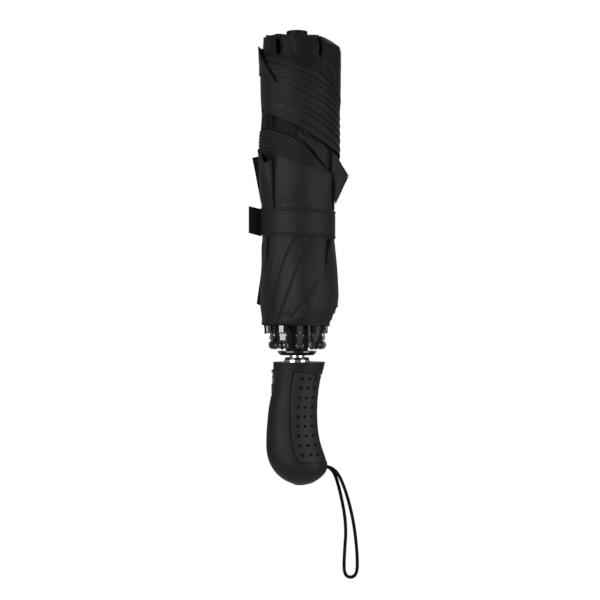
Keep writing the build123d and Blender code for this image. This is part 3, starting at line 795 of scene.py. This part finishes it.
# Skirt below the strap: four turns whose hems fan out towards the right.
SKIRT = (
    ((-25.0, 70.6), (-5.8, 71.5), (10.0, 77.2), (27.0, 82.6), (29.2, 83.4)),
    ((-25.0, 70.3), (-5.8, 70.9), (10.0, 74.0), (26.0, 78.0), (28.2, 78.8)),
    ((-25.0, 70.1), (-5.8, 70.5), (10.0, 71.2), (24.0, 73.4), (26.6, 74.2)),
    ((-25.0, 69.9), (-5.8, 70.2), (10.0, 69.9), (22.0, 69.8), (25.6, 70.0)),
)
# The first skirt turn reaches up behind the strap, the others a little above their hems.
FIRST_SKIRT_FAR, SKIRT_FAR = 133.0, 100.0
for order, line in enumerate(SKIRT):
    reach = degrees(-100 + 4 * order, 254 + 4 * order, 0.55)
    canopy_pieces.append(
        turn_of_cloth(
            f"canopy_skirt_{order + 1}",
            reach,
            curve_by_x(line, 2.0)(reach),
            FIRST_SKIRT_FAR if order == 0 else SKIRT_FAR,
            -0.5 * order,
            lower_folds,
            rows=120 if order == 0 else 30,
            bold=1.6,
        )
    )


def inner_folds(theta, z):
    """Folds of the inner roll, which shows in the gaps between the turns."""
    total = crease(theta, z, (-1.5, 207.5), (25.5, 180.0), 4.5, 1.5, 0.0, 4.0, 3.0)
    total = total + crease(theta, z, (3.0, 213.0), (22.5, 190.0), 1.0, 0.9, 0.4, 4.0, 3.0)
    total = total + crease(theta, z, (9.0, 212.0), (24.5, 194.0), 0.8, 0.8, 0.4, 4.0, 3.0)
    x = front_x(theta, z)
    swell = 3.0 * (1 - smooth(-18.5, -16.6, x)) + 0.6 * np.exp(-(((x + 18.2) / 0.7) ** 2))
    swell = swell + 1.8 * smooth(24.5, 26.5, x)
    gap = smooth(205, 211, z) * (1 - smooth(222, 228, z))
    side = np.where(np.cos(theta) > -0.2, swell, 1.8) * gap
    return total + side - 0.6 * ripple(theta, z) + 0.12 * np.sin(21 * theta + 0.02 * z)


ROLL_BOTTOM, ROLL_TOP, ROLL_LEVEL = 74.0, 262.0, -3.6
roll_reach = degrees(-184, 176, 0.8)
canopy_pieces.append(
    turn_of_cloth(
        "canopy_inner_roll",
        roll_reach,
        ROLL_BOTTOM,
        ROLL_TOP,
        ROLL_LEVEL,
        inner_folds,
        rows=150,
        bold=0.0,
    )
)


# ---- loose corners and shaded strips of cloth -------------------------------------
CORNER_STEPS = 18
TRIANGLE_SHARE = 0.5


def corner(name, points, bow):
    """Triangular corner of cloth between three points, slightly bowed towards the front."""
    a, b, c = (np.array(p, float) for p in points)
    verts, uvs = [], []
    for i in range(CORNER_STEPS + 1):
        for j in range(CORNER_STEPS + 1):
            u, v = i / CORNER_STEPS, j / CORNER_STEPS
            p = a * (1 - u) + (b * (1 - v) + c * v) * u
            swell = math.sin(math.pi * u) * (0.5 + 0.5 * math.sin(math.pi * v))
            verts.append(p + np.array([0, -bow * swell, 0.15 * math.sin(9 * u + 5 * v)]))
            uvs.append((np.linalg.norm(b - c) * v * u, np.linalg.norm(b - a) * (1 - u)))
    obj = add_mesh(name, verts, grid_faces(CORNER_STEPS + 1, CORNER_STEPS + 1), uvs)
    first = float(np.linalg.norm(b - a))
    second = float(np.linalg.norm(np.cross(b - a, c - a)) / first)
    obj["flat_mm"] = [first, second]
    obj["area_share"] = TRIANGLE_SHARE
    return obj


# Name, three corner points and bow towards the front of each loose corner.
CORNERS = (
    ("right_low", ((36.9, -6.0, 176.8), (25.0, -13.5, 181.5), (27.4, -9.0, 156.5)), 1.2),
    ("right_top", ((37.3, -3.0, 177.6), (25.2, -14.8, 194.8), (24.6, -15.0, 179.5)), 0.8),
    ("right_back", ((36.6, -1.0, 178.6), (27.5, -8.0, 193.8), (27.0, -7.0, 160.0)), -0.6),
    ("left_top", ((-32.3, 3.0, 191.0), (-25.5, 1.0, 192.8), (-25.6, 2.5, 156.5)), 0.8),
    ("left_low", ((-29.2, 3.5, 85.6), (-25.2, -1.0, 84.5), (-25.4, 2.0, 112.0)), 0.6),
)
for where, points, bow in CORNERS:
    canopy_pieces.append(corner(f"canopy_corner_{where}", points, bow))


def shade_patch(name, left, right, lift, detail=None, rows=26, cols=8):
    """Dark strip of cloth beside a fold, between two lines of front points: painted shade laid over the
    cloth.
    """
    ends = [np.array([seen(x, z) for x, z in line]) for line in (left, right)]
    v = np.linspace(0, len(left) - 1, rows)
    steps = np.arange(len(left))
    first, second = [
        np.stack([np.interp(v, steps, end[:, 0]), np.interp(v, steps, end[:, 1])], axis=-1) for end in ends
    ]
    u = np.linspace(0, 1, cols)[None, :]
    theta = first[:, :1] * (1 - u) + second[:, :1] * u
    z = first[:, 1:] * (1 - u) + second[:, 1:] * u
    rise = lift + ripple(theta, z)
    if detail is not None:
        rise = rise + detail(theta, z)
    points = place(theta, z, rise)
    uv = np.stack([theta * SIDE_RADIUS, z], axis=-1)
    return add_mesh(name, points.reshape(-1, 3), grid_faces(rows, cols), uv.reshape(-1, 2))


# Left line, right line, height over the bundle and folds of each shaded strip.
SHADED = (
    (
        ((-25.6, 109.0), (-22.9, 121.3), (-22.2, 133.9)),
        ((-24.9, 110.5), (-20.5, 121.3), (-19.6, 133.9)),
        0.25,
        lower_folds,
    ),
    (
        ((21.3, 110.0), (21.4, 121.3), (21.7, 132.6)),
        ((21.5, 110.0), (22.6, 121.3), (25.0, 132.2)),
        0.25,
        lower_folds,
    ),
    (
        ((25.1, 153.8), (24.9, 166.0), (24.9, 178.0)),
        ((26.6, 153.8), (27.3, 166.0), (25.6, 178.0)),
        0.25,
        lower_folds,
    ),
    (
        ((-18.4, 246.2), (-21.4, 252.8), (-24.3, 260.0), (-26.4, 269.0)),
        ((-13.7, 245.6), (-17.4, 252.8), (-21.2, 260.0), (-24.6, 269.6)),
        0.6,
        None,
    ),
)
patches = [
    shade_patch(f"canopy_shade_sheet_{order}", left, right, lift, detail)
    for order, (left, right, lift, detail) in enumerate(SHADED, start=1)
]


LEAST_FLAT = 0.01
STRAP_WIDTH = 19.6
STRAP_MIDDLE = 144.0
STRAP_BOTTOM = 133.9
STRAP_FIRST, STRAP_LAST = -99, 259
# Height over the bundle, and how much higher the strap starts than it ends, so that it overlaps.
STRAP_LEVEL, STRAP_OVERLAP = 0.55, 0.35
# Free end: where it leaves the bundle, how far it reaches to the left and its length along the cloth.
END_X, END_Y, END_BOTTOM = -25.5, -3.2, 134.2
END_REACH = 9.1
END_LENGTH = 9.2
# Rows of the strap by distance from its lower edge, close together at both hemmed borders.
BORDER_ROWS = np.array([0, 0.12, 0.4, 0.9, 1.4, 1.7, 1.9, 2.1, 2.5, 3.1])
STRAP_ROWS = np.concatenate([BORDER_ROWS, np.linspace(4, 15.6, 10), STRAP_WIDTH - BORDER_ROWS[::-1]])


def strap_border():
    """Height of the strap's surface at each row: a rolled edge and a sunken stitch line on both borders."""
    edge = np.minimum(STRAP_ROWS, STRAP_WIDTH - STRAP_ROWS)
    lift = np.interp(edge, (0, 0.15, 0.5, 1.3, 1.9, 2.3, 3.0), (-0.4, 0.1, 0.45, 0.50, -0.25, 0.30, 0.05))
    return lift[:, None]


def strap_band():
    """The strap once round the bundle, its ends one over the other at the left."""
    theta = degrees(STRAP_FIRST, STRAP_LAST, 1.0)
    bottom = STRAP_BOTTOM - 1.2 * np.sin(theta)
    z = bottom[None, :] + STRAP_ROWS[:, None]
    tt = np.broadcast_to(theta, z.shape)
    spiral = STRAP_OVERLAP * (np.degrees(tt) - STRAP_FIRST) / (STRAP_LAST - STRAP_FIRST)
    soft = 0.16 * np.sin(3 * tt + 1.0) + 0.06 * np.sin(7 * tt + 0.2 * z) + 0.02 * np.sin(17 * tt - 0.3 * z)
    lift = STRAP_LEVEL + soft - spiral + STRAP_OVERLAP + strap_border()
    shift, wide, deep = base(STRAP_MIDDLE)
    points = np.stack([shift + (wide + lift) * np.sin(tt), -(deep + lift) * np.cos(tt), z], axis=-1)
    arc = np.concatenate([[0], np.cumsum(np.linalg.norm(np.diff(points[12], axis=0), axis=1))])
    uv = np.stack([np.broadcast_to(arc, z.shape), np.broadcast_to(STRAP_ROWS[:, None], z.shape)], axis=-1)
    obj = add_mesh("strap_band", points.reshape(-1, 3), grid_faces(*z.shape), uv.reshape(-1, 2))
    obj["flat_mm"] = [float(arc[-1]), STRAP_WIDTH]
    return obj


def strap_end():
    """Free end of the strap, bent away from the bundle."""
    u = np.linspace(0, 1, 24)
    x = END_X - END_REACH * u
    y = END_Y - 1.6 * np.sin(1.5 * u) - 0.4 * u
    rise = END_BOTTOM + 2.4 * u
    z = rise[None, :] + STRAP_ROWS[:, None] * (1 - 0.015 * u[None, :])
    points = np.stack([np.broadcast_to(x, z.shape), y[None, :] - strap_border(), z], axis=-1)
    across = np.broadcast_to(STRAP_ROWS[:, None], z.shape)
    uv = np.stack([np.broadcast_to(u * END_LENGTH, z.shape), across], axis=-1)
    obj = add_mesh("strap_end", points.reshape(-1, 3), grid_faces(*z.shape), uv.reshape(-1, 2))
    obj["flat_mm"] = [LEAST_FLAT / MM, STRAP_WIDTH]
    return obj


# ---- what the cloth rides on ------------------------------------------------------
def gather(piece, body, look):
    """Gives a piece its cloth; it rides on a body."""
    piece.data.materials.append(look)
    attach(piece, body)
    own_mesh(piece)


# The shaded strips and the left corners get the near-black copy of the cloth as painted shade; the shoulder
# gets its darker top copy as painted shade.
for piece in canopy_pieces + patches:
    in_shade = piece in patches or "corner_left" in piece.name
    look = shade_cloth if in_shade else top_shade_cloth if piece.name == "canopy_shoulder" else cloth
    gather(piece, "top_section", look)
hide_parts("canopy")

# The inner roll is in deep shade on the left and lighter towards the right.
roll = bpy.data.objects["canopy_inner_roll"].data
roll.materials.append(roll_shade_cloth)
for face in roll.polygons:
    x, y, z = face.center / MM
    face.material_index = 0 if y < 0 and x > 1.5 + 0.35 * (z - 210) and z > 170 else 1

band = strap_band()
gather(band, "top_section", strap_cloth)
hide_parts("strap")

free_end = strap_end()
gather(free_end, "strap_tab", strap_end_shade_cloth)
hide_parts("strap_tab")

# ---- wrist loop -----------------------------------------------------------------
# Control points of the cord's centre line, in metres: out of the handle, round and back into it.
CORD_DIAMETER = 0.0024
BRAID_PITCH = 0.0011
LOOP = (
    (0.0188, -0.0017, -0.0310),
    (0.0260, -0.0017, -0.0310),
    (0.0334, -0.0013, -0.0430),
    (0.0404, -0.0006, -0.0680),
    (0.0435, 0.0000, -0.0940),
    (0.0433, 0.0002, -0.1110),
    (0.0338, 0.0004, -0.1110),
    (0.0340, 0.0007, -0.0950),
    (0.0357, 0.0010, -0.0740),
    (0.0312, 0.0014, -0.0490),
    (0.0254, 0.0017, -0.0310),
    (0.0188, 0.0017, -0.0310),
)
loop_data = bpy.data.curves.new("wrist_loop", "CURVE")
loop_data.dimensions = "3D"
loop_data.resolution_u = 10
loop_data.bevel_depth = CORD_DIAMETER / 2
loop_data.bevel_resolution = 5
loop_data.use_fill_caps = True
spline = loop_data.splines.new("NURBS")
spline.points.add(len(LOOP) - 1)
for point, (x, y, z) in zip(spline.points, LOOP):
    point.co = (x, y, z, 1)
spline.order_u = 3
spline.use_endpoint_u = True
loop = bpy.data.objects.new("wrist_loop", loop_data)
scene.collection.objects.link(loop)


def braid_material():
    """Braided cord: two crossing sets of slanting threads."""
    n = Nodes("loop_webbing").base((0.005, 0.005, 0.005), 0.85, specular=0.04)
    coords = n.new("ShaderNodeTexCoord").outputs["Object"]
    parts = n.new("ShaderNodeSeparateXYZ")
    n.link(coords, parts.inputs[0])
    x, _, z = parts.outputs
    turns = 2 * math.pi / BRAID_PITCH
    one = n.math("SINE", n.math("MULTIPLY", n.math("ADD", z, x), turns))
    two = n.math("SINE", n.math("MULTIPLY", n.math("SUBTRACT", z, x), turns))
    n.link(n.bump(n.math("MULTIPLY", one, two), 0.25, 0.0001), n.bsdf.inputs["Normal"])
    return n.mat


loop_data.materials.append(braid_material())
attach(loop, "handle")
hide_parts("wrist_cord")

# ---- room and light --------------------------------------------------------------
# The camera sees a white backdrop; the object is lit by a weaker white surrounding.
AMBIENT = 0.23
world = bpy.data.worlds.new("studio")
world.use_nodes = True
links = world.node_tree.links
ambient = world.node_tree.nodes["Background"]
ambient.inputs["Color"].default_value = (1, 1, 1, 1)
ambient.inputs["Strength"].default_value = AMBIENT
paper = world.node_tree.nodes.new("ShaderNodeBackground")
paper.inputs["Color"].default_value = (1, 1, 1, 1)
paper.inputs["Strength"].default_value = 1.0
rays = world.node_tree.nodes.new("ShaderNodeLightPath")
choose = world.node_tree.nodes.new("ShaderNodeMixShader")
links.new(rays.outputs["Is Camera Ray"], choose.inputs[0])
links.new(ambient.outputs[0], choose.inputs[1])
links.new(paper.outputs[0], choose.inputs[2])
links.new(choose.outputs[0], world.node_tree.nodes["World Output"].inputs["Surface"])
scene.world = world


LIGHT_TARGET = (0, 0, 0.1)


def soft_light(name, location, size, energy):
    """Rectangular lamp that faces the object; metres and watts."""
    data = bpy.data.lights.new(name, "AREA")
    data.shape = "RECTANGLE"
    data.size, data.size_y = size
    data.energy = energy
    light = bpy.data.objects.new(name, data)
    light.location = location
    aim = np.array(LIGHT_TARGET, float) - np.array(location, float)
    light.rotation_euler = (
        math.atan2(math.hypot(aim[0], aim[1]), -aim[2]),
        0,
        math.atan2(aim[1], aim[0]) - math.pi / 2,
    )
    scene.collection.objects.link(light)


soft_light("key", (-0.8, -0.85, 0.3), (0.9, 0.7), 12.5)
soft_light("fill", (0.95, -0.65, 0.15), (0.7, 0.8), 8.5)
soft_light("top", (0.2, -0.1, 1.2), (0.8, 0.6), 2.5)
soft_light("rear", (0.1, 1.2, 0.5), (0.8, 0.8), 2.0)

FLOOR_HALF, FLOOR_Z = 0.8, -0.4
floor_mesh = bpy.data.meshes.new("floor")
floor_corners = [
    (-FLOOR_HALF, -FLOOR_HALF, FLOOR_Z),
    (FLOOR_HALF, -FLOOR_HALF, FLOOR_Z),
    (FLOOR_HALF, FLOOR_HALF, FLOOR_Z),
    (-FLOOR_HALF, FLOOR_HALF, FLOOR_Z),
]
floor_mesh.from_pydata(floor_corners, [], [(0, 1, 2, 3)])
floor = bpy.data.objects.new("floor", floor_mesh)
scene.collection.objects.link(floor)
floor_look = Nodes("floor_paint").base((0.8, 0.8, 0.8), 0.7)
floor_mesh.materials.append(floor_look.mat)
